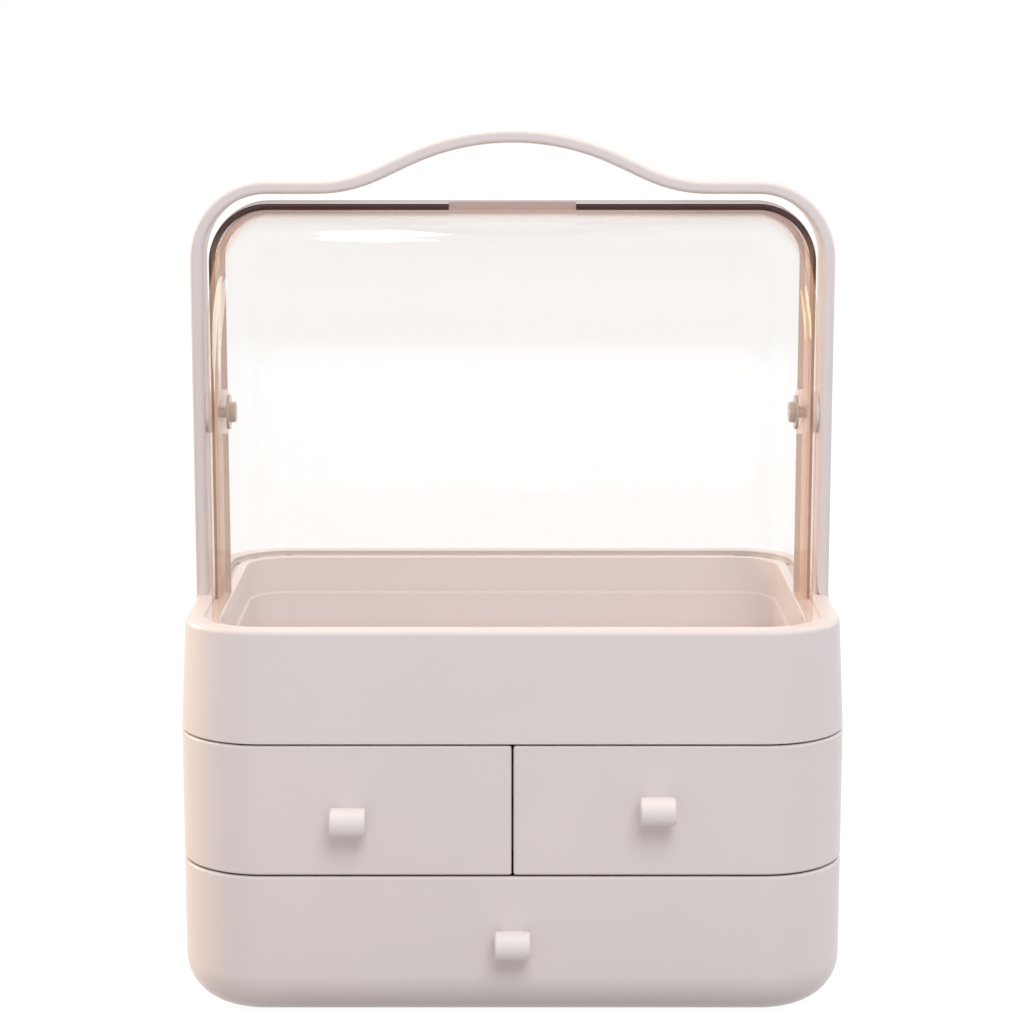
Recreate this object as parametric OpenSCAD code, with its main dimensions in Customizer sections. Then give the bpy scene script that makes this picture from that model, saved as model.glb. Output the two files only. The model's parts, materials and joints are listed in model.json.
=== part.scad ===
// Dustproof makeup organizer: a three-drawer case with an open tray on top, an arched
// carrying handle, a fixed clear rear cover and a clear front cover that swings up and
// back inside the rear one. Front is -Y, up is +Z, the origin is on the table at the
// middle of the footprint, knobs included.

/* [Case] */
// Width of the case
body_w = 280; // [240:1:320]
// Depth of the case, without the knobs
body_d = 187; // [180:1:220]
// Radius of the case's upright corners
corner_r = 36; // [30:1:38]
// Radius along the bottom outer edge
bottom_round = 20; // [14:0.5:22]
// Thickness of the case's walls
case_wall = 3; // [2:0.1:4]
// Height of the case's underside above the table
foot_h = 1.2; // [0.8:0.1:4]
// Height of the seam between the bottom drawer and the small drawers
seam_low = 64.5; // [58:0.5:71]
// Height of the seam between the small drawers and the tray
seam_high = 120.5; // [116:0.5:127]
// Gap at each seam between neighbouring fronts
seam_gap = 0.8; // [0.5:0.1:1.5]
// Thickness of the shelf between the drawer levels
shelf_t = 2.4; // [2:0.1:3]
// Depth of the groove that holds the shelf
groove_d = 1.2; // [0.6:0.1:1.5]
// Thickness of the upright divider between the small drawers
divider_t = 2.4; // [2:0.1:4]

/* [Tray] */
// Height of the tray's rim above the table
rim_z = 168.3; // [163:0.1:177]
// How far the tray's walls lean in from bottom to rim
tray_lean = 2.2; // [0.5:0.1:2.5]
// Rounding of the rim's outer edge
rim_round = 2.4; // [1:0.1:2.6]
// Width of the raised rim
rim_w = 8.1; // [7.5:0.1:9.5]
// Depth of the ledge inside the rim that the covers stand on
ledge_drop = 2; // [1:0.1:3]
// Distance from the case's side to the tray's inner wall above the step
tray_inset = 17; // [16.5:0.1:20]
// Width of the step in the tray's inner wall
step_w = 1.5; // [0.8:0.1:3]
// Height of the step in the tray's inner wall
step_z = 149.8; // [138:0.1:157]
// Thickness of the tray's floor
tray_floor = 3; // [2.5:0.1:4]
// Thickness of the tray's outer wall
tray_wall = 3; // [2:0.1:3.5]
// Thickness of the tray's inner wall above the step
tray_skin = 2.5; // [1.8:0.1:3]
// Thickness of the ledge over the hollow between the tray's walls
ledge_t = 3; // [2:0.1:4]

/* [Drawers] */
// Thickness of the drawer fronts
front_t = 3; // [2:0.1:4]
// How far the drawer fronts wrap round the corners
front_wrap = 40; // [38:1:46]
// Thickness of the drawer bins' walls
bin_wall = 2; // [1.5:0.1:2.5]
// Clearance between a bin and the case at the sides and back
bin_gap = 0.6; // [0.4:0.1:1.2]
// Clearance between a bin and what it slides on
glide_gap = 0.3; // [0.2:0.05:0.5]
// How far a bin's top edge lies below what is above it
bin_headroom = 3.4; // [3.3:0.1:10]
// Largest inner corner radius of the small bins, next to the divider
bin_inner_r = 3; // [2.6:0.5:8]
// Diameter of each knob's roll
knob_d = 11.8; // [10:0.1:16]
// Length of each knob's roll
knob_len = 14.8; // [12:0.1:24]
// Distance of a knob's axis from the drawer front
knob_stand = 8.5; // [8.2:0.1:12]
// Bevel on a knob's ends
knob_bevel = 0.7; // [0.3:0.1:1.5]
// Width of a knob's neck
neck_w = 9; // [7:0.1:11]
// Height of a knob's neck
neck_h = 7.5; // [6:0.1:9]
// Left knob, distance from the middle
knob_left_x = 67.7; // [40:0.1:90]
// Left knob, height above the table
knob_left_z = 90.3; // [83:0.1:102]
// Right knob, distance from the middle
knob_right_x = 59.7; // [40:0.1:90]
// Right knob, height above the table
knob_right_z = 94.9; // [83:0.1:102]
// Bottom knob, height above the table
knob_bottom_z = 37.3; // [30:0.1:47]

/* [Covers] */
// Distance of the cover pivot behind the case's front face
pivot_back = 85; // [84:0.5:90]
// Height of the cover pivot above the table
pivot_z = 247.1; // [244:0.1:252]
// Radius of the rear cover about the pivot
rear_r = 91.4; // [89:0.1:91.5]
// Thickness of the rear cover
rear_t = 2.6; // [2:0.1:3]
// Clearance between the two covers
cover_gap = 0.6; // [0.4:0.05:1]
// Thickness of the front cover
front_cover_t = 2.5; // [2:0.1:3]
// Distance of the rear cover's side from the rim's inner edge
cover_side_gap = 0.3; // [0.2:0.1:1]
// Rounding of the rear cover's side edges and corners
rear_edge_r = 25; // [20:0.5:27]
// Distance of the front cover's face in front of the pivot
cover_reach = 72; // [68:0.5:72]
// Distance of the brow's centre in front of the pivot
brow_f = 10; // [6:0.5:12]
// How far the front cover reaches behind the pivot
cover_tail = 2; // [0:0.5:6]
// Radius of the ears that carry the front cover on its pins
ear_r = 10; // [8:0.5:12]
// Gap below the front cover when it is shut
cover_rest_gap = 0.3; // [0.2:0.05:0.6]
// Width of the finger notch in the rear cover
notch_w = 54; // [30:1:80]
// Depth of the finger notch in the rear cover
notch_d = 5; // [2:0.5:8]

/* [Handle] */
// Width of the handle band, front to back
band_w = 22; // [16:0.5:26]
// Thickness of the handle band
band_t = 5.4; // [4.5:0.1:5.8]
// Gap between the handle band and the rear cover's sides
band_gap = 2.9; // [2:0.1:3.2]
// Gap between the handle band's shoulders and the rear cover's top
band_top_gap = 3.4; // [2:0.1:6]
// Outer radius of the band's upper corners
band_r = 33; // [28:0.5:38]
// Height of the arch above the band's shoulders
arch_rise = 21.6; // [18:0.1:30]
// Radius of the arch's crown
crown_r = 108; // [90:1:120]
// Radius where the arch leaves the shoulders
sweep_r = 60; // [50:1:80]
// Steepest slope of the arch
arch_slope = 25; // [22:0.5:28]
// Depth of the tongues that hold the band in the rim
tongue_d = 9; // [6:0.5:12]
// Length of the tongues, front to back
tongue_l = 14; // [10:0.5:15]
// Thickness of the tongues
tongue_t = 2.6; // [2:0.1:2.8]

/* [Fittings] */
// Diameter of the pivot pins
pin_d = 5; // [4:0.1:6]
// Diameter of the spacers between the band and the rear cover
spacer_d = 18; // [14:0.5:20]
// Diameter of the pivot washers
washer_d = 15; // [12:0.5:18]
// Thickness of the pivot washers
washer_t = 1.2; // [0.8:0.1:2]
// Diameter of the pin caps
cap_d = 9; // [8:0.5:11]
// Thickness of the pin caps
cap_t = 2.6; // [2.4:0.1:4]
// Rounding of the pin caps' edge
cap_round = 1; // [0.5:0.1:1.2]
// Diameter of the rubber feet
foot_d = 14; // [10:0.5:18]
// Depth of the feet's seats in the case floor
foot_seat = 0.8; // [0.4:0.1:1.2]
// Distance of the feet from the case's sides
foot_side = 32; // [28:1:50]
// Distance of the front feet behind the drawer fronts
foot_front = 15; // [12:1:30]
// Distance of the rear feet from the case's back
foot_rear = 34; // [30:1:50]
// Distance of the tray screws from the case's sides
tray_screw_side = 45; // [40:1:60]
// Distance of the front tray screws behind the drawer fronts
tray_screw_front = 14; // [10:1:30]
// Distance of the rear tray screws from the case's back
tray_screw_rear = 40; // [36:1:60]
// Diameter of the screws' shanks
screw_d = 3; // [2.5:0.1:3.5]
// Diameter of the screws' heads
screw_head_d = 6; // [5:0.1:7]
// Thickness of the screws' heads
screw_head_t = 1.8; // [1.4:0.1:2.2]
// Width of the slots across the screws' heads
screw_slot_w = 0.8; // [0.5:0.1:1]
// Depth of the slots across the screws' heads
screw_slot_d = 1; // [0.5:0.1:1.2]

/* [Hidden] */
$fn = 96;

// How far cuts run past a face
over = 1;
// Material left beyond the end of a blind hole
blind_end = 1;
// Clearance between a screw's tip and the end of its hole
tip_gap = 0.2;
// Radial clearance of a fixed pin or screw in its hole
fixed_fit = 0.02;
// Radial clearance of the pivot pins in the front cover
running_fit = 0.06;
// Clearance around tongues and in the shelf's grooves
slip = 0.15;
// Gap between a pivot washer and the front cover
washer_gap = 0.1;
// How far the brow's form rises above the drum that trims it
brow_lift = 0.3;
// How far neighbouring pieces of the arch run into each other
joint_lap = 0.02;

half_w = body_w / 2;
knob_reach = knob_stand + knob_d / 2;
y_front = -(body_d - knob_reach) / 2;
y_back = y_front + body_d;
mid_y = (y_front + y_back) / 2;
pivot_y = y_front + pivot_back;

// Heights of the levels
case_top = seam_high + seam_gap / 2;
lower_top = seam_low - seam_gap / 2;
upper_bottom = seam_low + seam_gap / 2;
upper_top = seam_high - seam_gap / 2;
shelf_z = seam_low - shelf_t / 2;
shelf_top = shelf_z + shelf_t;
ceiling_z = case_top - case_wall;
case_floor_z = foot_h + case_wall;
y_split = y_front + front_wrap;
front_gap = seam_gap / 2;
outer_skin = max(case_wall, front_t);
bin_inset = outer_skin + bin_gap;
bin_round = bottom_round - outer_skin;

// Tray
rim_inset = tray_lean + rim_w;
ledge_z = rim_z - ledge_drop;
well_inset = tray_inset + step_w;
tray_floor_z = case_top + tray_floor;
hollow_inset = tray_lean + tray_wall;
hollow_top = ledge_z - ledge_t;

// Covers, measured from the pivot
rear_half = half_w - rim_inset - cover_side_gap;
rear_front_f = band_w / 2;
front_half = rear_half - rear_t - cover_gap;
front_r = rear_r - rear_t - cover_gap;
front_edge_r = rear_edge_r - rear_t - cover_gap;
cover_bottom_z = ledge_z + cover_rest_gap;
brow_r = cover_reach - brow_f;
brow_z = front_r + brow_lift - brow_r;

// Handle band
band_inner = rear_half + band_gap;
band_outer = band_inner + band_t;
shoulder_z = pivot_z + rear_r + band_top_gap;
band_top = shoulder_z + band_t;
crown_z = band_top + arch_rise;
line_drop = arch_rise - (crown_r + sweep_r) * (1 - cos(arch_slope));
line_run = line_drop / tan(arch_slope);
crown_x = crown_r * sin(arch_slope);
sweep_x = crown_x + line_run + sweep_r * sin(arch_slope);
tongue_x = (band_inner + band_outer) / 2;

// Pivot stack, from the band inwards
pin_r = pin_d / 2;
pin_tip = band_outer - blind_end;
front_inner = front_half - front_cover_t;
washer_x = front_inner - washer_gap - washer_t;
cap_x = washer_x - cap_t;
pin_end = cap_x + blind_end;

// Screws and feet
screw_r = screw_d / 2;
tray_screw_x = half_w - tray_screw_side;
tray_screw_ys = [y_split + tray_screw_front, y_back - tray_screw_rear];
tray_screw_grip = case_wall + tray_floor - blind_end;
foot_x = half_w - foot_side;
foot_ys = [y_split + foot_front, y_back - foot_rear];

case_white = [0.93, 0.89, 0.88];
clear = [0.95, 0.93, 0.91, 0.35];

// --- Outlines and solids shared by the parts ---

module rounded_rect(w, d, r) {
    square([w, d - 2 * r], center = true);
    square([w - 2 * r, d], center = true);
    for (x = [-1, 1], y = [-1, 1])
        translate([x * (w / 2 - r), y * (d / 2 - r)]) circle(r);
}

// The case's outline, moved in by some distance
module case_outline(inset) {
    translate([0, mid_y])
        rounded_rect(body_w - 2 * inset, body_d - 2 * inset, corner_r - inset);
}

// Carries a profile round the case's outline. The profile's X is the distance from
// the corners' centres and its Y is height; from z0 to z1 the middle is filled.
module swept_block(z0, z1) {
    cx = half_w - corner_r;
    cy = body_d / 2 - corner_r;
    translate([0, mid_y, 0]) {
        translate([-cx, -cy, z0]) cube([2 * cx, 2 * cy, z1 - z0]);
        for (q = [[cx, cy, 0], [-cx, cy, 90], [-cx, -cy, 180], [cx, -cy, 270]])
            translate([q[0], q[1], 0]) rotate(q[2])
                rotate_extrude(angle = 90) children();
        for (s = [-1, 1]) {
            translate([s * cx, s * cy, 0]) rotate([90, 0, s > 0 ? 0 : 180])
                linear_extrude(2 * cy) children();
            translate([-s * cx, s * cy, 0]) rotate([90, 0, s > 0 ? 90 : 270])
                linear_extrude(2 * cx) children();
        }
    }
}

// A profile with an upright side and a rounded bottom edge
module tub_profile(inset, z0, z1, round) {
    w = corner_r - inset;
    translate([0, z0 + round]) square([w, z1 - z0 - round]);
    translate([0, z0]) square([w - round, round]);
    translate([w - round, z0 + round]) intersection() {
        circle(round);
        translate([0, -round]) square([round, round]);
    }
}

module tub(inset, z0, z1, round) {
    swept_block(z0, z1) tub_profile(inset, z0, z1, round);
}

// Keeps what is behind a plane across the case
module behind(y, z0, z1) {
    translate([-body_w, y, z0]) cube([2 * body_w, 2 * body_d, z1 - z0]);
}

// A pin along X on the cover pivot, from x0 to x1
module pivot_rod(x0, x1, r) {
    translate([x0, pivot_y, pivot_z]) rotate([0, 90, 0]) cylinder(h = x1 - x0, r = r);
}

module both_sides() {
    children();
    mirror([1, 0, 0]) children();
}

// Part of a closed drum with rounded side edges. Its axis runs along X, f in front of the
// pivot and z above it, and it turns from a0 to a1, measured from forward towards up.
module drum(f, z, r, half, edge, a0, a1) {
    translate([0, pivot_y - f, pivot_z + z]) rotate([90, 0, -90]) rotate(a0)
        rotate_extrude(angle = a1 - a0) {
            translate([0, -half + edge]) square([r, 2 * (half - edge)]);
            translate([0, -half]) square([r - edge, 2 * half]);
            for (s = [-1, 1]) translate([r - edge, s * (half - edge)]) circle(edge);
        }
}

// --- Case ---

module case_shell() {
    color(case_white) difference() {
        intersection() {
            tub(0, foot_h, case_top, bottom_round);
            behind(y_split + front_gap, 0, case_top);
        }
        tub(case_wall, case_floor_z, shelf_z, bottom_round - case_wall);
        translate([0, 0, shelf_z - over]) linear_extrude(ceiling_z - shelf_z + over)
            case_outline(case_wall);
        translate([0, 0, shelf_z - slip]) linear_extrude(shelf_t + 2 * slip)
            case_outline(case_wall - groove_d);
        feet_places() translate([0, 0, foot_h - over])
            cylinder(h = foot_seat + over, d = foot_d + 2 * slip);
        tray_screw_places() translate([0, 0, ceiling_z - over])
            cylinder(h = case_wall + 2 * over, r = screw_r + slip);
    }
}

module shelf() {
    color(case_white) translate([0, 0, shelf_z - slip]) linear_extrude(shelf_t + slip)
        intersection() {
            case_outline(case_wall - groove_d + slip);
            translate([-body_w, y_split + front_gap])
                square([2 * body_w, body_d]);
        }
}

module divider() {
    color(case_white) translate([-divider_t / 2, y_split + front_gap, shelf_top])
        cube([divider_t, y_back - case_wall - y_split - front_gap, ceiling_z - shelf_top]);
}

module feet_places() {
    for (x = [-foot_x, foot_x], y = foot_ys) translate([x, y, 0]) children();
}

module rubber_feet() {
    color([0.82, 0.8, 0.79]) feet_places() {
        cylinder(h = foot_h + foot_seat, d = foot_d);
    }
}

// --- Tray ---

module tray_profile() {
    top = corner_r - tray_lean;
    polygon([
        [0, case_top], [corner_r, case_top], [top, rim_z - rim_round],
        [top - rim_round, rim_z - rim_round], [top - rim_round, rim_z], [0, rim_z]
    ]);
    translate([top - rim_round, rim_z - rim_round]) intersection() {
        circle(rim_round);
        square(rim_round);
    }
}

module tray() {
    color(case_white) difference() {
        union() {
            swept_block(case_top, rim_z) tray_profile();
            both_sides() band_pad();
        }
        translate([0, 0, ledge_z]) linear_extrude(ledge_drop + over)
            case_outline(rim_inset);
        translate([0, 0, step_z]) linear_extrude(ledge_z - step_z + over)
            case_outline(tray_inset);
        translate([0, 0, tray_floor_z]) linear_extrude(step_z - tray_floor_z + over)
            case_outline(well_inset);
        translate([0, 0, case_top - over]) linear_extrude(hollow_top - case_top + over)
            difference() {
                case_outline(hollow_inset);
                case_outline(tray_inset - tray_skin);
            }
        both_sides() translate([tongue_x, pivot_y, rim_z - tongue_d - slip])
            translate([-tongue_t / 2 - slip, -tongue_l / 2 - slip, 0])
                cube([tongue_t + 2 * slip, tongue_l + 2 * slip, tongue_d + slip + over]);
        tray_screw_places() translate([0, 0, case_top - over])
            cylinder(h = tray_floor - blind_end + over, r = screw_r + fixed_fit);
    }
}

// Fills the rim's rounded edge up to a flat seat under the handle band
module band_pad() {
    translate([band_inner, pivot_y - band_w / 2, rim_z - rim_round])
        cube([band_t, band_w, rim_round]);
}

module tray_screw_places() {
    for (x = [-tray_screw_x, tray_screw_x], y = tray_screw_ys)
        translate([x, y, 0]) children();
}

// A slotted screw that points up, with the underside of its head at z = 0
module screw(length) {
    difference() {
        union() {
            translate([0, 0, -screw_head_t]) cylinder(h = screw_head_t, d = screw_head_d);
            cylinder(h = length, r = screw_r);
        }
        for (a = [0, 90]) rotate(a)
            translate([-screw_r, -screw_slot_w / 2, -screw_head_t - over])
                cube([screw_d, screw_slot_w, over + screw_slot_d]);
    }
}

module tray_screws() {
    color("silver") tray_screw_places() translate([0, 0, ceiling_z])
        screw(tray_screw_grip - tip_gap);
}

// --- Handle band ---

// The part of a ring between two directions, in degrees from +X
module ring_part(r_in, r_out, a0, a1) {
    reach = 2 * r_out;
    am = (a0 + a1) / 2;
    intersection() {
        difference() {
            circle(r_out, $fn = 240);
            circle(r_in, $fn = 240);
        }
        polygon([
            [0, 0], reach * [cos(a0), sin(a0)], reach * [cos(am), sin(am)],
            reach * [cos(a1), sin(a1)]
        ]);
    }
}

module half_band_outline() {
    translate([band_inner, rim_z]) square([band_t, band_top - band_r - rim_z]);
    translate([band_outer - band_r, band_top - band_r])
        ring_part(band_r - band_t, band_r, 0, 90);
    translate([sweep_x, shoulder_z])
        square([band_outer - band_r - sweep_x, band_t]);
    translate([sweep_x, band_top + sweep_r])
        ring_part(sweep_r, sweep_r + band_t, 270 - arch_slope, 270);
    translate([crown_x, crown_z - crown_r * (1 - cos(arch_slope))])
        rotate(-arch_slope) translate([-joint_lap, -band_t])
            square([line_run / cos(arch_slope) + 2 * joint_lap, band_t]);
}

module handle_band() {
    color(case_white) difference() {
        union() {
            translate([0, pivot_y + band_w / 2, 0]) rotate([90, 0, 0])
                linear_extrude(band_w) {
                    half_band_outline();
                    mirror([1, 0]) half_band_outline();
                    translate([0, crown_z - crown_r])
                        ring_part(crown_r - band_t, crown_r, 90 - arch_slope, 90 + arch_slope);
                }
            both_sides() translate([tongue_x - tongue_t / 2, pivot_y - tongue_l / 2, 0])
                translate([0, 0, rim_z - tongue_d]) cube([tongue_t, tongue_l, tongue_d]);
        }
        both_sides() pivot_rod(band_inner - over, pin_tip, pin_r + fixed_fit);
    }
}

// --- Covers ---

module rear_cover_outline(inset, f0) {
    half = rear_half - inset;
    back = rear_r - inset;
    edge = rear_edge_r - inset;
    translate([-half, pivot_y - f0]) square([2 * half, f0 + back - edge]);
    translate([edge - half, pivot_y]) square([2 * (half - edge), back]);
    for (s = [-1, 1]) translate([s * (half - edge), pivot_y + back - edge]) circle(edge);
}

module rear_cover_block(inset, f0, z0) {
    translate([0, 0, z0]) linear_extrude(pivot_z - z0) rear_cover_outline(inset, f0);
    intersection() {
        drum(0, 0, rear_r - inset, rear_half - inset, rear_edge_r - inset, 0, 180);
        behind(pivot_y - f0, pivot_z, pivot_z + 2 * rear_r);
    }
}

module rear_cover() {
    color(clear) difference() {
        rear_cover_block(0, rear_front_f, ledge_z);
        rear_cover_block(rear_t, rear_front_f + over, ledge_z - over);
        translate([-notch_w / 2, pivot_y - rear_front_f - over, pivot_z + rear_r / 2])
            cube([notch_w, notch_d + over, rear_r]);
        both_sides() pivot_rod(front_half, band_inner, pin_r + fixed_fit);
    }
}

module front_cover_outline(inset, tail) {
    half = front_half - inset;
    reach = cover_reach - inset;
    r = front_edge_r - inset;
    translate([-half, pivot_y - reach + r]) square([2 * half, reach - r + tail]);
    translate([r - half, pivot_y - reach]) square([2 * (half - r), reach]);
    for (s = [-1, 1]) translate([s * (half - r), pivot_y - reach + r]) circle(r);
}

// A box with a round brow above its front face, trimmed by a drum about the pivot
module front_cover_block(inset, tail, z0) {
    half = front_half - inset;
    edge = front_edge_r - inset;
    r = brow_r - inset;
    intersection() {
        union() {
            translate([0, 0, z0]) linear_extrude(pivot_z + brow_z - z0)
                front_cover_outline(inset, tail);
            drum(brow_f, brow_z, r, half, edge, 0, 90);
            translate([0, pivot_y + tail, pivot_z + brow_z]) rotate([90, 0, 0])
                linear_extrude(brow_f + tail) {
                    translate([-half, 0]) square([2 * half, r - edge]);
                    translate([edge - half, 0]) square([2 * (half - edge), r]);
                    for (s = [-1, 1]) translate([s * (half - edge), r - edge]) circle(edge);
                }
        }
        union() {
            translate([-half, pivot_y - body_d, z0 - over])
                cube([2 * half, 2 * body_d, pivot_z - z0 + over]);
            drum(0, 0, front_r - inset, half, edge, 0, 180);
        }
    }
}

module front_cover() {
    color(clear) difference() {
        union() {
            difference() {
                front_cover_block(0, cover_tail, cover_bottom_z);
                front_cover_block(front_cover_t, cover_tail + over, cover_bottom_z - over);
            }
            both_sides() pivot_rod(front_inner, front_half, ear_r);
        }
        both_sides() pivot_rod(front_inner - over, front_half + over, pin_r + running_fit);
    }
}

// --- Pivot fittings ---

module pivot_spacer() {
    color(case_white) difference() {
        pivot_rod(rear_half, band_inner, spacer_d / 2);
        pivot_rod(rear_half - over, band_inner + over, pin_r + fixed_fit);
    }
}

module pivot_pin() {
    color("silver") pivot_rod(pin_end, pin_tip, pin_r);
}

module pivot_washer() {
    color(case_white) difference() {
        pivot_rod(washer_x, washer_x + washer_t, washer_d / 2);
        pivot_rod(washer_x - over, washer_x + washer_t + over, pin_r + fixed_fit);
    }
}

module pin_cap() {
    color(case_white) difference() {
        translate([washer_x, pivot_y, pivot_z]) rotate([0, -90, 0]) rotate_extrude() {
            square([cap_d / 2, cap_t - cap_round]);
            square([cap_d / 2 - cap_round, cap_t]);
            translate([cap_d / 2 - cap_round, cap_t - cap_round]) intersection() {
                circle(cap_round);
                square(cap_round);
            }
        }
        pivot_rod(pin_end, washer_x + over, pin_r + fixed_fit);
    }
}

module pivot_spacer_left() { mirror([1, 0, 0]) pivot_spacer(); }
module pivot_spacer_right() { pivot_spacer(); }
module pivot_pin_left() { mirror([1, 0, 0]) pivot_pin(); }
module pivot_pin_right() { pivot_pin(); }
module pivot_washer_left() { mirror([1, 0, 0]) pivot_washer(); }
module pivot_washer_right() { pivot_washer(); }
module pin_cap_left() { mirror([1, 0, 0]) pin_cap(); }
module pin_cap_right() { pin_cap(); }

// --- Drawers ---

// A knob: a bevelled roll along X on a short neck, centred on its screw
module knob(x, z) {
    color(case_white) translate([x, y_front, z]) difference() {
        union() {
            translate([-knob_len / 2, -knob_stand, 0]) rotate([0, 90, 0])
                rotate_extrude() polygon([
                    [0, 0], [knob_d / 2 - knob_bevel, 0], [knob_d / 2, knob_bevel],
                    [knob_d / 2, knob_len - knob_bevel],
                    [knob_d / 2 - knob_bevel, knob_len], [0, knob_len]
                ]);
            translate([-neck_w / 2, -knob_stand, -neck_h / 2])
                cube([neck_w, knob_stand, neck_h]);
        }
        rotate([90, 0, 0]) translate([0, 0, -over])
            cylinder(h = knob_stand + over, r = screw_r + fixed_fit);
    }
}

// The screw that holds a knob, its head inside the bin
module knob_screw(x, z) {
    color("silver") translate([x, y_front + front_t + bin_wall, z]) rotate([90, 0, 0])
        screw(front_t + bin_wall + knob_stand - tip_gap);
}

module knob_hole(x, z) {
    translate([x, y_front - over, z]) rotate([-90, 0, 0])
        cylinder(h = front_t + bin_wall + 2 * over, r = screw_r + slip);
}

// The room of a small drawer: x from the seam outwards, mirrored for the left side
module side_part(side, x0, z0, z1) {
    translate([side > 0 ? x0 : -body_w, y_front - over, z0])
        cube([body_w - x0, body_d + 2 * over, z1 - z0]);
}

module front_slice(y) {
    translate([-body_w, y_front - over, 0]) cube([2 * body_w, y - y_front + over, rim_z]);
}

module small_front(side, x, z) {
    color(case_white) difference() {
        intersection() {
            translate([0, 0, upper_bottom]) linear_extrude(upper_top - upper_bottom)
                case_outline(0);
            side_part(side, front_gap, upper_bottom, upper_top);
            front_slice(y_split);
        }
        intersection() {
            translate([0, 0, upper_bottom - over])
                linear_extrude(upper_top - upper_bottom + 2 * over) case_outline(front_t);
            side_part(side, -over, upper_bottom - over, upper_top + over);
        }
        knob_hole(x, z);
    }
}

module small_bin_outline(side, inset) {
    x0 = divider_t / 2 + bin_gap + inset;
    x1 = half_w - bin_inset - inset;
    y0 = y_front + front_t + inset;
    y1 = y_back - bin_inset - inset;
    r1 = corner_r - bin_inset - inset;
    r0 = bin_inner_r - inset;
    mirror([side > 0 ? 0 : 1, 0]) {
        translate([x0, y0 + r0]) square([r0, y1 - y0 - 2 * r0]);
        translate([x0 + r0, y0]) square([x1 - x0 - r0 - r1, y1 - y0]);
        translate([x1 - r1, y0 + r1]) square([r1, y1 - y0 - 2 * r1]);
        for (y = [y0, y1]) {
            s = y == y0 ? 1 : -1;
            translate([x0 + r0, y + s * r0]) circle(r0);
            translate([x1 - r1, y + s * r1]) circle(r1);
        }
    }
}

module small_bin(side, x, z) {
    z0 = shelf_top + glide_gap;
    z1 = ceiling_z - bin_headroom;
    color(case_white) difference() {
        translate([0, 0, z0]) linear_extrude(z1 - z0) small_bin_outline(side, 0);
        translate([0, 0, z0 + bin_wall]) linear_extrude(z1 - z0)
            small_bin_outline(side, bin_wall);
        knob_hole(x, z);
    }
}

module bottom_front() {
    color(case_white) difference() {
        intersection() {
            tub(0, foot_h, lower_top, bottom_round);
            front_slice(y_split);
        }
        tub(front_t, foot_h + front_t, lower_top + over, bottom_round - front_t);
        knob_hole(0, knob_bottom_z);
    }
}

// The bottom bin's form. Its front half is moved up to the drawer front.
module bottom_bin_block(inset, z0, z1) {
    shift = bin_inset - front_t;
    intersection() {
        tub(bin_inset + inset, z0, z1, bin_round - inset);
        behind(mid_y, z0, z1);
    }
    translate([0, -shift, 0]) intersection() {
        tub(bin_inset + inset, z0, z1, bin_round - inset);
        translate([0, shift, 0]) front_slice(mid_y);
    }
}

module bottom_bin() {
    z0 = foot_h + outer_skin + glide_gap;
    z1 = shelf_z - bin_headroom;
    color(case_white) difference() {
        bottom_bin_block(0, z0, z1);
        bottom_bin_block(bin_wall, z0 + bin_wall, z1 + over);
        knob_hole(0, knob_bottom_z);
    }
}

module left_front() { small_front(-1, -knob_left_x, knob_left_z); }
module left_bin() { small_bin(-1, -knob_left_x, knob_left_z); }
module left_knob() { knob(-knob_left_x, knob_left_z); }
module left_knob_screw() { knob_screw(-knob_left_x, knob_left_z); }
module right_front() { small_front(1, knob_right_x, knob_right_z); }
module right_bin() { small_bin(1, knob_right_x, knob_right_z); }
module right_knob() { knob(knob_right_x, knob_right_z); }
module right_knob_screw() { knob_screw(knob_right_x, knob_right_z); }
module bottom_knob() { knob(0, knob_bottom_z); }
module bottom_knob_screw() { knob_screw(0, knob_bottom_z); }

case_shell();
shelf();
divider();
tray();
tray_screws();
rubber_feet();
handle_band();
rear_cover();
front_cover();
pivot_spacer_left();
pivot_spacer_right();
pivot_pin_left();
pivot_pin_right();
pivot_washer_left();
pivot_washer_right();
pin_cap_left();
pin_cap_right();
left_front();
left_bin();
left_knob();
left_knob_screw();
right_front();
right_bin();
right_knob();
right_knob_screw();
bottom_front();
bottom_bin();
bottom_knob();
bottom_knob_screw();
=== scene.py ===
"""Dustproof makeup organizer: looks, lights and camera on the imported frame.

Everything is in metres in the CAD frame: +X right, -Y front, +Z up.
"""

import json
import math

import bpy
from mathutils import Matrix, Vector

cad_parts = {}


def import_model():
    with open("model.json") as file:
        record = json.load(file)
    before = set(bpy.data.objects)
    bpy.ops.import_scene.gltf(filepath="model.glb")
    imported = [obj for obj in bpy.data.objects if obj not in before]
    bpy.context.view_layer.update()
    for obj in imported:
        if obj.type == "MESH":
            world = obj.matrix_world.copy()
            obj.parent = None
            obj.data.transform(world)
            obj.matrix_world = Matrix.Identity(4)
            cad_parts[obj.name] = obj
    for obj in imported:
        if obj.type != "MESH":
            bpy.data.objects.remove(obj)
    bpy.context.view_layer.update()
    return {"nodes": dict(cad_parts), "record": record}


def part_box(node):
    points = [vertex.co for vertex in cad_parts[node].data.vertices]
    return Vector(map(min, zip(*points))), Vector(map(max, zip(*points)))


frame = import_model()
nodes = frame["nodes"]

FRONT_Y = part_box("left_front")[0].y
PIN_LOW, PIN_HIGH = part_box("pivot_pin_left")
HINGE_Y = (PIN_LOW.y + PIN_HIGH.y) / 2
HINGE_Z = (PIN_LOW.z + PIN_HIGH.z) / 2
TRAY_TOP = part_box("tray")[1].z
BAND_LOW, BAND_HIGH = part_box("handle_band")
REAR_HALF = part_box("rear_cover")[1].x

# Farther out than any piece reaches, for boxes that are open on a side
FAR = 1.0


# --- Node-tree helpers ---


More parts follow.
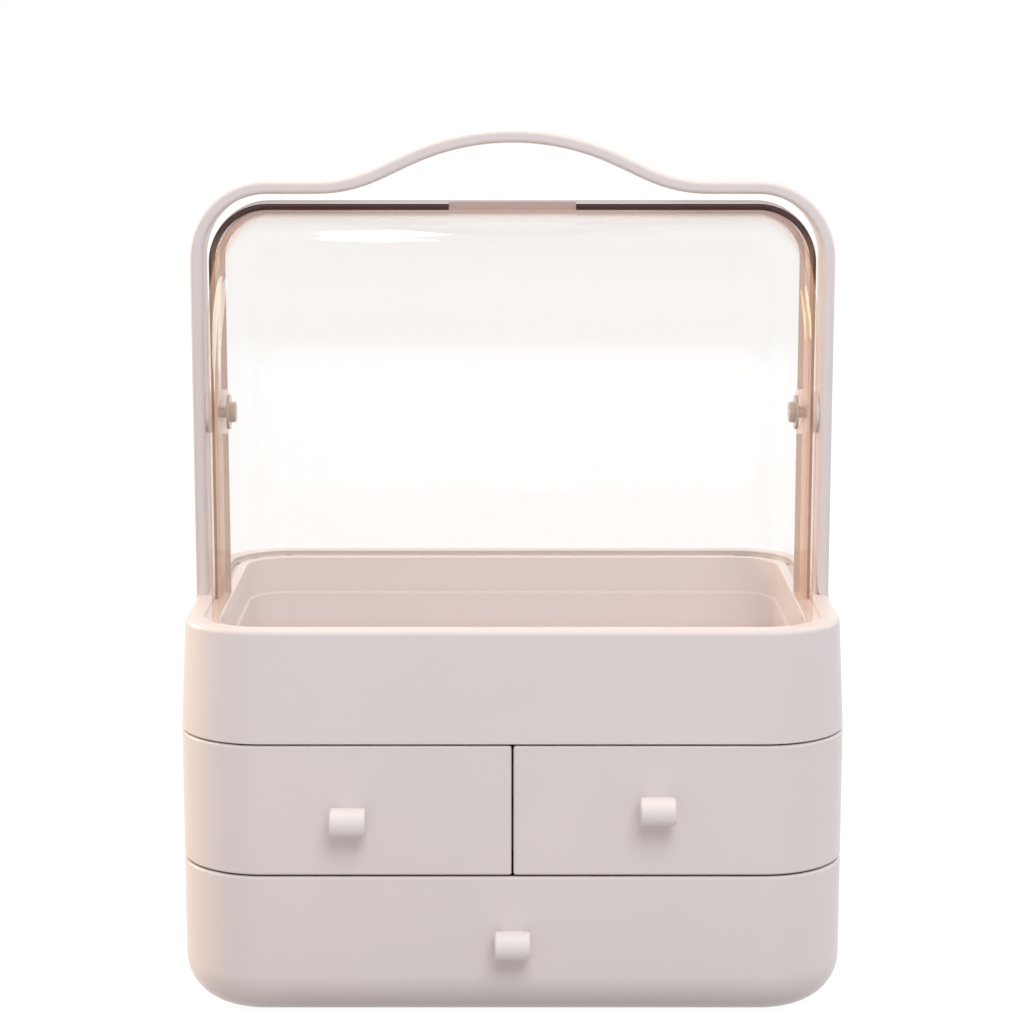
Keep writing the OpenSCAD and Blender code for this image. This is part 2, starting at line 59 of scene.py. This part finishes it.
def srgb(r, g, b):
    """A colour written as 0-255 sRGB, as linear RGBA."""

    def linear(v):
        v /= 255
        return v / 12.92 if v <= 0.04045 else ((v + 0.055) / 1.055) ** 2.4

    return (linear(r), linear(g), linear(b), 1.0)


def grey(v):
    """A linear grey, for ramps that carry a number."""
    return (v, v, v, 1.0)


def new_material(name):
    """A material with an empty tree: the material, its tree and its surface socket."""
    mat = bpy.data.materials.new(name)
    mat.use_nodes = True
    tree = mat.node_tree
    tree.nodes.clear()
    return mat, tree, tree.nodes.new("ShaderNodeOutputMaterial").inputs["Surface"]


def put(tree, value, socket):
    """Sets a socket to a number or colour, or links it to a node's output."""
    if isinstance(value, bpy.types.NodeSocket):
        tree.links.new(value, socket)
    else:
        socket.default_value = value


def add(tree, kind, **values):
    """A node with its inputs set: keys are socket names with spaces as underscores."""
    node = tree.nodes.new(kind)
    for key, value in values.items():
        put(tree, value, node.inputs[key.replace("_", " ")])
    return node


def maths(tree, operation, *values):
    node = tree.nodes.new("ShaderNodeMath")
    node.operation = operation
    for value, socket in zip(values, node.inputs):
        put(tree, value, socket)
    return node.outputs[0]


def rescale(tree, value, low, high, new_low=0.0, new_high=1.0):
    """The value carried from low..high to new_low..new_high, and held at both ends."""
    ends = {"From_Min": low, "From_Max": high, "To_Min": new_low, "To_Max": new_high}
    return add(tree, "ShaderNodeMapRange", Value=value, **ends).outputs[0]


def ramp(tree, source, stops):
    """The colour from a ramp over source. stops are (position, colour)."""
    node = tree.nodes.new("ShaderNodeValToRGB")
    elements = node.color_ramp.elements
    while len(elements) < len(stops):
        elements.new(0.5)
    for element, (place, colour) in zip(elements, stops):
        element.position = place
        element.color = colour
    tree.links.new(source, node.inputs[0])
    return node.outputs["Color"]


def blend(tree, share, first, second):
    """The mix of two colours, each a node's output or a plain colour."""
    node = tree.nodes.new("ShaderNodeMix")
    node.data_type = "RGBA"
    # The colour sockets come after those for numbers and vectors, which have the same names
    first_colour, second_colour, mixed_colour = node.inputs[6], node.inputs[7], node.outputs[2]
    put(tree, share, node.inputs["Factor"])
    put(tree, first, first_colour)
    put(tree, second, second_colour)
    return mixed_colour


def mix_shaders(tree, share, first, second):
    node = tree.nodes.new("ShaderNodeMixShader")
    for value, socket in zip((share, first, second), node.inputs):
        put(tree, value, socket)
    return node.outputs[0]


def noise(tree, where, scale, detail, roughness):
    return add(
        tree, "ShaderNodeTexNoise", Vector=where, Scale=scale, Detail=detail, Roughness=roughness
    ).outputs["Fac"]


def bumps(tree, height, strength, distance):
    return add(
        tree, "ShaderNodeBump", Height=height, Strength=strength, Distance=distance
    ).outputs["Normal"]


def position(tree):
    return tree.nodes.new("ShaderNodeTexCoord").outputs["Object"]


# --- Plastic, steel and rubber ---

BODY_SHADE = srgb(226, 217, 217)
BODY_TINT = srgb(229, 220, 219)


def moulded_plastic(name, colour, tint, roughness=0.34, coat=0.15):
    """Injection-moulded plastic: faint flow mottling, fine grain and a soft gloss."""
    mat, tree, surface = new_material(name)
    where = position(tree)
    cloud = noise(tree, where, scale=9.0, detail=3.0, roughness=0.55)
    smear = noise(tree, where, scale=60.0, detail=4.0, roughness=0.6)
    grain = noise(tree, where, scale=2600.0, detail=2.0, roughness=0.5)
    wave = noise(tree, where, scale=22.0, detail=1.0, roughness=0.4)
    # The waves of the mould are this much higher than the grain
    relief = maths(tree, "MULTIPLY_ADD", wave, 6.0, grain)
    shader = add(
        tree,
        "ShaderNodeBsdfPrincipled",
        Base_Color=ramp(tree, cloud, [(0.35, colour), (0.68, tint)]),
        Roughness=rescale(tree, smear, 0.3, 0.7, roughness - 0.03, roughness + 0.04),
        Normal=bumps(tree, relief, strength=0.06, distance=0.00006),
        IOR=1.46,
        Coat_Weight=coat,
        Coat_Roughness=0.22,
    )
    tree.links.new(shader.outputs["BSDF"], surface)
    return mat


def steel(name):
    """Bright zinc-plated screws."""
    mat, tree, surface = new_material(name)
    scuffs = noise(tree, position(tree), scale=900.0, detail=3.0, roughness=0.6)
    shader = add(
        tree,
        "ShaderNodeBsdfPrincipled",
        Base_Color=ramp(tree, scuffs, [(0.3, srgb(176, 177, 180)), (0.7, srgb(205, 205, 206))]),
        Roughness=rescale(tree, scuffs, 0.0, 1.0, 0.2, 0.38),
        Metallic=1.0,
    )
    tree.links.new(shader.outputs["BSDF"], surface)
    return mat


def rubber(name):
    """Pale matt rubber feet."""
    mat, tree, surface = new_material(name)
    grain = noise(tree, position(tree), scale=1400.0, detail=3.0, roughness=0.6)
    shader = add(
        tree,
        "ShaderNodeBsdfPrincipled",
        Base_Color=ramp(tree, grain, [(0.3, srgb(196, 191, 188)), (0.7, srgb(208, 204, 201))]),
        Roughness=0.75,
        Normal=bumps(tree, grain, strength=0.2, distance=0.0001),
    )
    tree.links.new(shader.outputs["BSDF"], surface)
    return mat


# --- Clear plastic of the covers ---

# How much of the painted reflection colour shows over the see-through plastic, by how far it turns
# from the eye
SIDE_VEIL = [
    (0.0, grey(0.004)),
    (0.8, grey(0.014)),
    (0.865, grey(0.05)),
    (0.885, grey(0.32)),
    (0.95, grey(0.5)),
    (0.99, grey(0.9)),
]
TOP_VEIL = [(0.0, grey(0.004)), (0.7, grey(0.014)), (0.8, grey(0.35)), (1.0, grey(0.6))]
# The painted reflection colour there, standing in for what the plastic mirrors and bends when seen
# edge-on: peach turning brown on the sides, pinkish turning lavender on top
SIDE_PAINTED_REFLECTION = [(0.9, srgb(228, 182, 146)), (0.955, srgb(206, 160, 120)), (0.98, srgb(126, 86, 52))]
TOP_PAINTED_REFLECTION = [(0.8, srgb(228, 201, 191)), (0.95, srgb(186, 164, 168))]
# How strongly its gloss mirrors, by the same turn
MIRROR = [(0.0, grey(0.04)), (0.6, grey(0.07)), (0.85, grey(0.11)), (1.0, grey(0.16))]
SEEN_THROUGH = srgb(254.6, 254.2, 253.8)
LIT_THROUGH = srgb(250, 247, 245)
HAZE_SHARE = 0.01
# |normal Z| of the sides and of the top, with the curve between them
SIDE_SLOPE, TOP_SLOPE = 0.35, 0.75
# The painted reflection colour of the flat sides ends here, before the rear corners
SIDE_END_Y = HINGE_Y + 0.026
SIDE_END_FADE = 0.004

# The covers' cut edges face forwards or back and lie within this distance of this plane
EDGE_PLANE_Y = HINGE_Y - 0.0045
EDGE_PLANE_REACH = 0.0085
EDGE_FACING = 0.97
EDGE_VEIL = 0.94
# Edges in front of this are the rear cover's rim, the others sit behind it
EDGE_FRONT_Y = HINGE_Y - 0.0085
# Heights between which the rim's painted shade turns from the side colours to the top one
EDGE_SIDE_Z, EDGE_TOP_Z = HINGE_Z + 0.04, HINGE_Z + 0.08
# The rim's outermost line gets a darker painted shade: it begins and is full at these |x|
RIM_START_X, RIM_FULL_X = REAR_HALF - 0.0014, REAR_HALF - 0.0011
# Painted shade on the cut edges, standing in for the dark light that the clear edges carry inside:
# maroon on top, brown on the sides, darker brown on the rim's outer line, greyish tan on the edges
# behind the rim
PAINTED_SHADE_EDGE_TOP = srgb(58, 28, 28)
PAINTED_SHADE_EDGE_SIDE = srgb(190, 146, 106)
PAINTED_SHADE_EDGE_SIDE_RIM = srgb(88, 54, 28)
PAINTED_SHADE_EDGE_BEHIND = srgb(190, 168, 158)


def clear_plastic(name):
    """Clear plastic: see-through face on, with a painted reflection colour where it turns away and
    painted shade on the cut edges.
    """
    mat, tree, surface = new_material(name)
    where = position(tree)
    place = add(tree, "ShaderNodeSeparateXYZ", Vector=where).outputs
    normal = tree.nodes.new("ShaderNodeTexCoord").outputs["Normal"]
    facing = add(tree, "ShaderNodeSeparateXYZ", Vector=normal).outputs
    # 0 on the upright sides, 1 on top
    upward = rescale(tree, maths(tree, "ABSOLUTE", facing["Z"]), SIDE_SLOPE, TOP_SLOPE)
    turn = add(tree, "ShaderNodeLayerWeight", Blend=0.5).outputs["Facing"]

    # How much of it shows
    before_corner = rescale(tree, place["Y"], SIDE_END_Y + SIDE_END_FADE, SIDE_END_Y)
    side_veil = maths(tree, "MULTIPLY", ramp(tree, turn, SIDE_VEIL), before_corner)
    veil = blend(tree, upward, side_veil, ramp(tree, turn, TOP_VEIL))
    haze = noise(tree, where, scale=14.0, detail=3.0, roughness=0.5)
    veil_haze = maths(tree, "MULTIPLY_ADD", haze, HAZE_SHARE, veil)
    flat = maths(tree, "GREATER_THAN", maths(tree, "ABSOLUTE", facing["Y"]), EDGE_FACING)
    near = maths(tree, "COMPARE", place["Y"], EDGE_PLANE_Y, EDGE_PLANE_REACH)
    edge = maths(tree, "MULTIPLY", flat, near)
    edge_veil = maths(tree, "MULTIPLY", edge, EDGE_VEIL)
    shown = maths(tree, "MAXIMUM", veil_haze, edge_veil)

    # Its painted colour: painted shade at the cut edges by place, painted reflection elsewhere by
    # the turn
    height = rescale(tree, place["Z"], EDGE_SIDE_Z, EDGE_TOP_Z)
    outer = rescale(tree, maths(tree, "ABSOLUTE", place["X"]), RIM_START_X, RIM_FULL_X)
    painted_front_edge_shade = blend(tree, height, blend(tree, outer, PAINTED_SHADE_EDGE_SIDE, PAINTED_SHADE_EDGE_SIDE_RIM), PAINTED_SHADE_EDGE_TOP)
    behind = maths(tree, "GREATER_THAN", place["Y"], EDGE_FRONT_Y)
    painted_edge_shade = blend(tree, behind, painted_front_edge_shade, PAINTED_SHADE_EDGE_BEHIND)
    # Painted reflection colour by the turn, one ramp for the sides and one for the top
    painted_reflection = blend(tree, upward, ramp(tree, turn, SIDE_PAINTED_REFLECTION), ramp(tree, turn, TOP_PAINTED_REFLECTION))
    painted_cover_colour = blend(tree, edge, painted_reflection, painted_edge_shade)
    body = add(
        tree, "ShaderNodeBsdfPrincipled", Base_Color=painted_cover_colour, Roughness=0.4, Specular_IOR_Level=0.0
    )
    through = add(tree, "ShaderNodeBsdfTransparent", Color=SEEN_THROUGH)
    clear = mix_shaders(tree, shown, through.outputs["BSDF"], body.outputs["BSDF"])

    # A thin, even gloss over it, which the cut edges with their matt painted shade lack
    ripple = noise(tree, where, scale=7.0, detail=1.0, roughness=0.4)
    gloss = add(
        tree,
        "ShaderNodeBsdfGlossy",
        Roughness=rescale(tree, haze, 0.0, 1.0, 0.02, 0.07),
        Normal=bumps(tree, ripple, strength=0.03, distance=0.0002),
    )
    off_edge = maths(tree, "SUBTRACT", 1.0, edge_veil)
    sheen = maths(tree, "MULTIPLY", ramp(tree, turn, MIRROR), off_edge)
    glossy = mix_shaders(tree, sheen, clear, gloss.outputs["BSDF"])

    # Lamps shine through it
    lit = add(tree, "ShaderNodeBsdfTransparent", Color=LIT_THROUGH).outputs["BSDF"]
    shadow_ray = tree.nodes.new("ShaderNodeLightPath").outputs["Is Shadow Ray"]
    tree.links.new(mix_shaders(tree, shadow_ray, glossy, lit), surface)
    return mat


# --- Which piece gets which material ---

CASE = moulded_plastic("case_white", BODY_SHADE, BODY_TINT)
DRAWER = moulded_plastic("drawer_white", BODY_SHADE, BODY_TINT)
KNOB = moulded_plastic("knob_white", srgb(233, 226, 226), srgb(236, 229, 228), 0.3)
PIN = moulded_plastic("pin_taupe", srgb(178, 158, 143), srgb(186, 167, 152), 0.25, 0.4)
TRIM = moulded_plastic("trim_white", srgb(214, 203, 198), srgb(220, 210, 205), 0.28, 0.4)

BY_SLOT = {
    "case_plastic": CASE,
    "drawer_plastic": DRAWER,
    "knob_plastic": KNOB,
    "trim_plastic": TRIM,
    "clear_plastic": clear_plastic("cover_clear"),
    "screw_steel": steel("screw_steel"),
    "foot_rubber": rubber("foot_rubber"),
}

BY_NODE = {
    "pin_cap_left": PIN,
    "pin_cap_right": PIN,
    "pivot_washer_left": PIN,
    "pivot_washer_right": PIN,
}


# --- Rounded edges ---

# Width of the rounding on the pieces that show it
SOFT_EDGES = {
    "case_shell": 0.0004,
    "tray": 0.0004,
    "left_front": 0.0011,
    "right_front": 0.0011,
    "bottom_front": 0.0011,
    "handle_band": 0.0018,
    "left_knob": 0.0004,
    "right_knob": 0.0004,
    "bottom_knob": 0.0004,
}
SOFT_SEGMENTS = 4
# Edges that turn more than this are rounded, and stay sharp on pieces without rounding
SOFT_ANGLE = math.radians(30)
SHARP_ANGLE = math.radians(28)
# Faces that turn less than this are one flat face
FLAT_ANGLE = math.radians(0.2)
# Points nearer than this are one point
SAME_POINT = 1e-6
# Decimals of a metre that tell two places apart
PLACE_DECIMALS = 5

# The box around a screw hole reaches this far from its middle
HOLE_REACH = 0.004
# The box around a foot of the band: its width, how far it passes the foot, its depth in the rim
FOOT_WIDTH = 0.01
FOOT_MARGIN = 0.002
FOOT_DEPTH = 0.006
# The band's edges below this belong to its feet
FOOT_LINE_Z = TRAY_TOP + 0.0002


def around_knob(node):
    """The box around the screw hole behind a knob, through the whole depth."""
    low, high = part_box(node)
    middle = (low + high) / 2
    reach = Vector((HOLE_REACH, FAR, HOLE_REACH))
    return middle - reach, middle + reach


def around_foot(side):
    """The box around the rim where a foot of the band enters it. side is -1 or 1."""
    low_x, high_x = sorted((side * (BAND_HIGH.x - FOOT_WIDTH), side * FAR))
    return (
        Vector((low_x, BAND_LOW.y - FOOT_MARGIN, TRAY_TOP - FOOT_DEPTH)),
        Vector((high_x, BAND_HIGH.y + FOOT_MARGIN, FAR)),
    )


# Where a piece's edges stay sharp
SHARP_BOXES = {
    "tray": [around_foot(-1), around_foot(1)],
    "left_front": [around_knob("left_knob")],
    "right_front": [around_knob("right_knob")],
    "bottom_front": [around_knob("bottom_knob")],
}


def in_box(point, low, high):
    return all(low[i] < point[i] < high[i] for i in range(3))


def mark_band_edges(mesh):
    """Marks the band's four long edges to be rounded, so that its feet stay sharp.

    The mesh isn't joined yet, so each face has its own points. An edge of the front or back face
    is a long edge where a face that runs through the band's depth has an edge in the same place.
    """

    def place(ends):
        return frozenset(
            tuple(round(value, PLACE_DECIMALS) for value in mesh.vertices[i].co) for i in ends
        )

    through_depth = set()
    for face in mesh.polygons:
        if abs(face.normal.y) < 0.5:
            through_depth.update(place(ends) for ends in face.edge_keys)
    weights = mesh.attributes.new("bevel_weight_edge", "FLOAT", "EDGE")
    for edge in mesh.edges:
        first, second = (mesh.vertices[i].co for i in edge.vertices)
        on_face = any(
            abs(first.y - y) < SAME_POINT and abs(second.y - y) < SAME_POINT
            for y in (BAND_LOW.y, BAND_HIGH.y)
        )
        above_foot = max(first.z, second.z) > FOOT_LINE_Z
        if on_face and above_foot and place(edge.vertices) in through_depth:
            weights.data[edge.index].value = 1.0


def soften(obj, width, sharp_boxes):
    """Rounds the sharp edges inwards, after the flat faces' triangles are joined."""
    obj.data.attributes.remove(obj.data.attributes["custom_normal"])
    weld = obj.modifiers.new("joined_faces", "WELD")
    weld.merge_threshold = SAME_POINT
    # Only joined faces get a round edge between them
    joined = obj.vertex_groups.new(name="joined")
    for vertex in obj.data.vertices:
        if not any(in_box(vertex.co, low, high) for low, high in sharp_boxes):
            joined.add([vertex.index], 1.0, "ADD")
    weld.vertex_group = joined.name
    flat = obj.modifiers.new("flat_faces", "DECIMATE")
    flat.decimate_type = "DISSOLVE"
    flat.angle_limit = FLAT_ANGLE
    round_off = obj.modifiers.new("soft_edges", "BEVEL")
    round_off.width = width
    round_off.segments = SOFT_SEGMENTS
    round_off.use_clamp_overlap = False
    if obj is nodes["handle_band"]:
        mark_band_edges(obj.data)
        round_off.limit_method = "WEIGHT"
    else:
        round_off.limit_method = "ANGLE"
        round_off.angle_limit = SOFT_ANGLE
    obj.modifiers.new("even_normals", "WEIGHTED_NORMAL")


for part in frame["record"]["subparts"]:
    node = part["node"]
    obj = nodes[node]
    obj.data.materials.clear()
    obj.data.materials.append(BY_NODE.get(node, BY_SLOT[part["material_slot"]]))
    for face in obj.data.polygons:
        face.use_smooth = True
    if node in SOFT_EDGES:
        soften(obj, SOFT_EDGES[node], SHARP_BOXES.get(node, []))
    else:
        obj.data.set_sharp_from_angle(angle=SHARP_ANGLE)


# --- Stage: floor, world, lamps and camera ---

WHITE = (1.0, 1.0, 1.0, 1.0)
WORLD_LIGHT = 0.465
FLOOR_HALF = 30.0
# The colour that the floor throws back on the object
FLOOR_SHADE = srgb(178, 172, 170)
# How much of the floor's seen brightness the object's shadow can take away
SHADOW_SHARE = 0.1
# The lamps' light on the open floor, so that the seen floor adds up to white
FLOOR_LIGHT = 0.45

# The middle of the object, which the lamps aim at
CENTRE = (0, 0, 0.18)
CAMERA_LENS = 94.92
CAMERA_SENSOR = 36.0
CAMERA_PLACE = (-0.0002, FRONT_Y - 1.077, 0.4104)
CAMERA_DOWN = math.radians(10.12)


def seen_rays(tree):
    """1 for a ray from the camera or through gloss or glass, otherwise 0."""
    path = tree.nodes.new("ShaderNodeLightPath").outputs
    through = maths(tree, "MAXIMUM", path["Is Glossy Ray"], path["Is Transmission Ray"])
    return maths(tree, "MAXIMUM", path["Is Camera Ray"], through)


def floor():
    """A pale floor that looks white but for the object's soft shadow."""
    mesh = bpy.data.meshes.new("floor")
    corners = [(x * FLOOR_HALF, y * FLOOR_HALF, 0) for x, y in ((-1, -1), (1, -1), (1, 1), (-1, 1))]
    mesh.from_pydata(corners, [], [(0, 1, 2, 3)])
    obj = bpy.data.objects.new("floor", mesh)
    bpy.context.scene.collection.objects.link(obj)
    mat, tree, surface = new_material("floor_white")
    matte = add(tree, "ShaderNodeBsdfDiffuse", Color=FLOOR_SHADE)
    faint = add(tree, "ShaderNodeBsdfDiffuse", Color=grey(SHADOW_SHARE))
    glow = add(tree, "ShaderNodeEmission", Strength=1 - SHADOW_SHARE * FLOOR_LIGHT)
    white = tree.nodes.new("ShaderNodeAddShader")
    tree.links.new(faint.outputs["BSDF"], white.inputs[0])
    tree.links.new(glow.outputs["Emission"], white.inputs[1])
    both = mix_shaders(tree, seen_rays(tree), matte.outputs["BSDF"], white.outputs["Shader"])
    tree.links.new(both, surface)
    mesh.materials.append(mat)


def world():
    """White where it is seen, and a plain soft light on the object."""
    scene_world = bpy.data.worlds.new("studio")
    scene_world.use_nodes = True
    bpy.context.scene.world = scene_world
    tree = scene_world.node_tree
    tree.nodes.clear()
    out = tree.nodes.new("ShaderNodeOutputWorld")
    light = add(tree, "ShaderNodeBackground", Color=WHITE, Strength=WORLD_LIGHT)
    white = add(tree, "ShaderNodeBackground", Color=WHITE, Strength=1.0)
    both = mix_shaders(
        tree, seen_rays(tree), light.outputs["Background"], white.outputs["Background"]
    )
    tree.links.new(both, out.inputs["Surface"])


def lamp(name, place, target, width, height, power, colour, shape="RECTANGLE"):
    """An area lamp that gloss and the covers don't mirror."""
    data = bpy.data.lights.new(name, "AREA")
    data.shape = shape
    data.size = width
    data.size_y = height
    data.energy = power
    data.color = colour
    obj = bpy.data.objects.new(name, data)
    obj.location = place
    obj.rotation_euler = (Vector(target) - Vector(place)).to_track_quat("-Z", "Y").to_euler()
    obj.visible_glossy = False
    bpy.context.scene.collection.objects.link(obj)
    return obj


def glint(name, place, target, width, height, power, colour):
    """A small oval lamp that lights nothing and only shows in gloss."""
    obj = lamp(name, place, target, width, height, power, colour, "ELLIPSE")
    obj.visible_glossy = True
    obj.visible_diffuse = False
    obj.visible_transmission = False


def camera():
    """The photo's viewpoint."""
    data = bpy.data.cameras.new("camera")
    data.sensor_width = CAMERA_SENSOR
    data.lens = CAMERA_LENS
    data.clip_start, data.clip_end = 0.05, 100
    obj = bpy.data.objects.new("camera", data)
    obj.location = CAMERA_PLACE
    obj.rotation_euler = (math.radians(90) - CAMERA_DOWN, 0, 0)
    bpy.context.scene.collection.objects.link(obj)
    bpy.context.scene.camera = obj


floor()
world()
lamp("key_light", (0.26, -1.46, 1.52), CENTRE, 0.9, 0.9, 17.0, (0.97, 0.99, 1.0))
lamp("top_light", (0.0, 0.1, 2.1), CENTRE, 1.2, 1.2, 19.0, (1.0, 0.81, 0.6))
lamp("front_fill", (0.0, -2.3, 0.3), CENTRE, 1.6, 1.2, 5.0, (0.5, 0.7, 1.0))
# The warm glow on the photo's left
lamp("left_light", (-1.5, 0.5, 0.5), CENTRE, 0.5, 1.0, 18.0, (1.0, 0.71, 0.43))
lamp("right_light", (1.5, 0.5, 0.5), CENTRE, 0.6, 1.0, 5.0, (0.8, 0.88, 1.0))
# Cool, to even out what the left lamp throws on the back
lamp("back_light", (0.2, 2.2, 0.9), CENTRE, 1.6, 1.2, 18.0, (0.74, 0.9, 1.0))
# The highlights on the front cover's brow and sides
glint("brow_glint", (-0.1, 0.551, 1.128), (-0.053, -0.045, 0.325), 0.105, 0.12, 1.0, (1, 1, 1))
glint("left_glint", (-1.45, 0.6, 0.5), (-0.12, -0.065, 0.3), 0.6, 0.9, 9.0, (1.0, 0.97, 0.88))
glint("right_glint", (1.45, 0.6, 0.55), (0.12, -0.065, 0.3), 0.25, 0.5, 2.5, (1.0, 0.85, 0.45))
camera()

bpy.context.scene.view_settings.view_transform = "Standard"
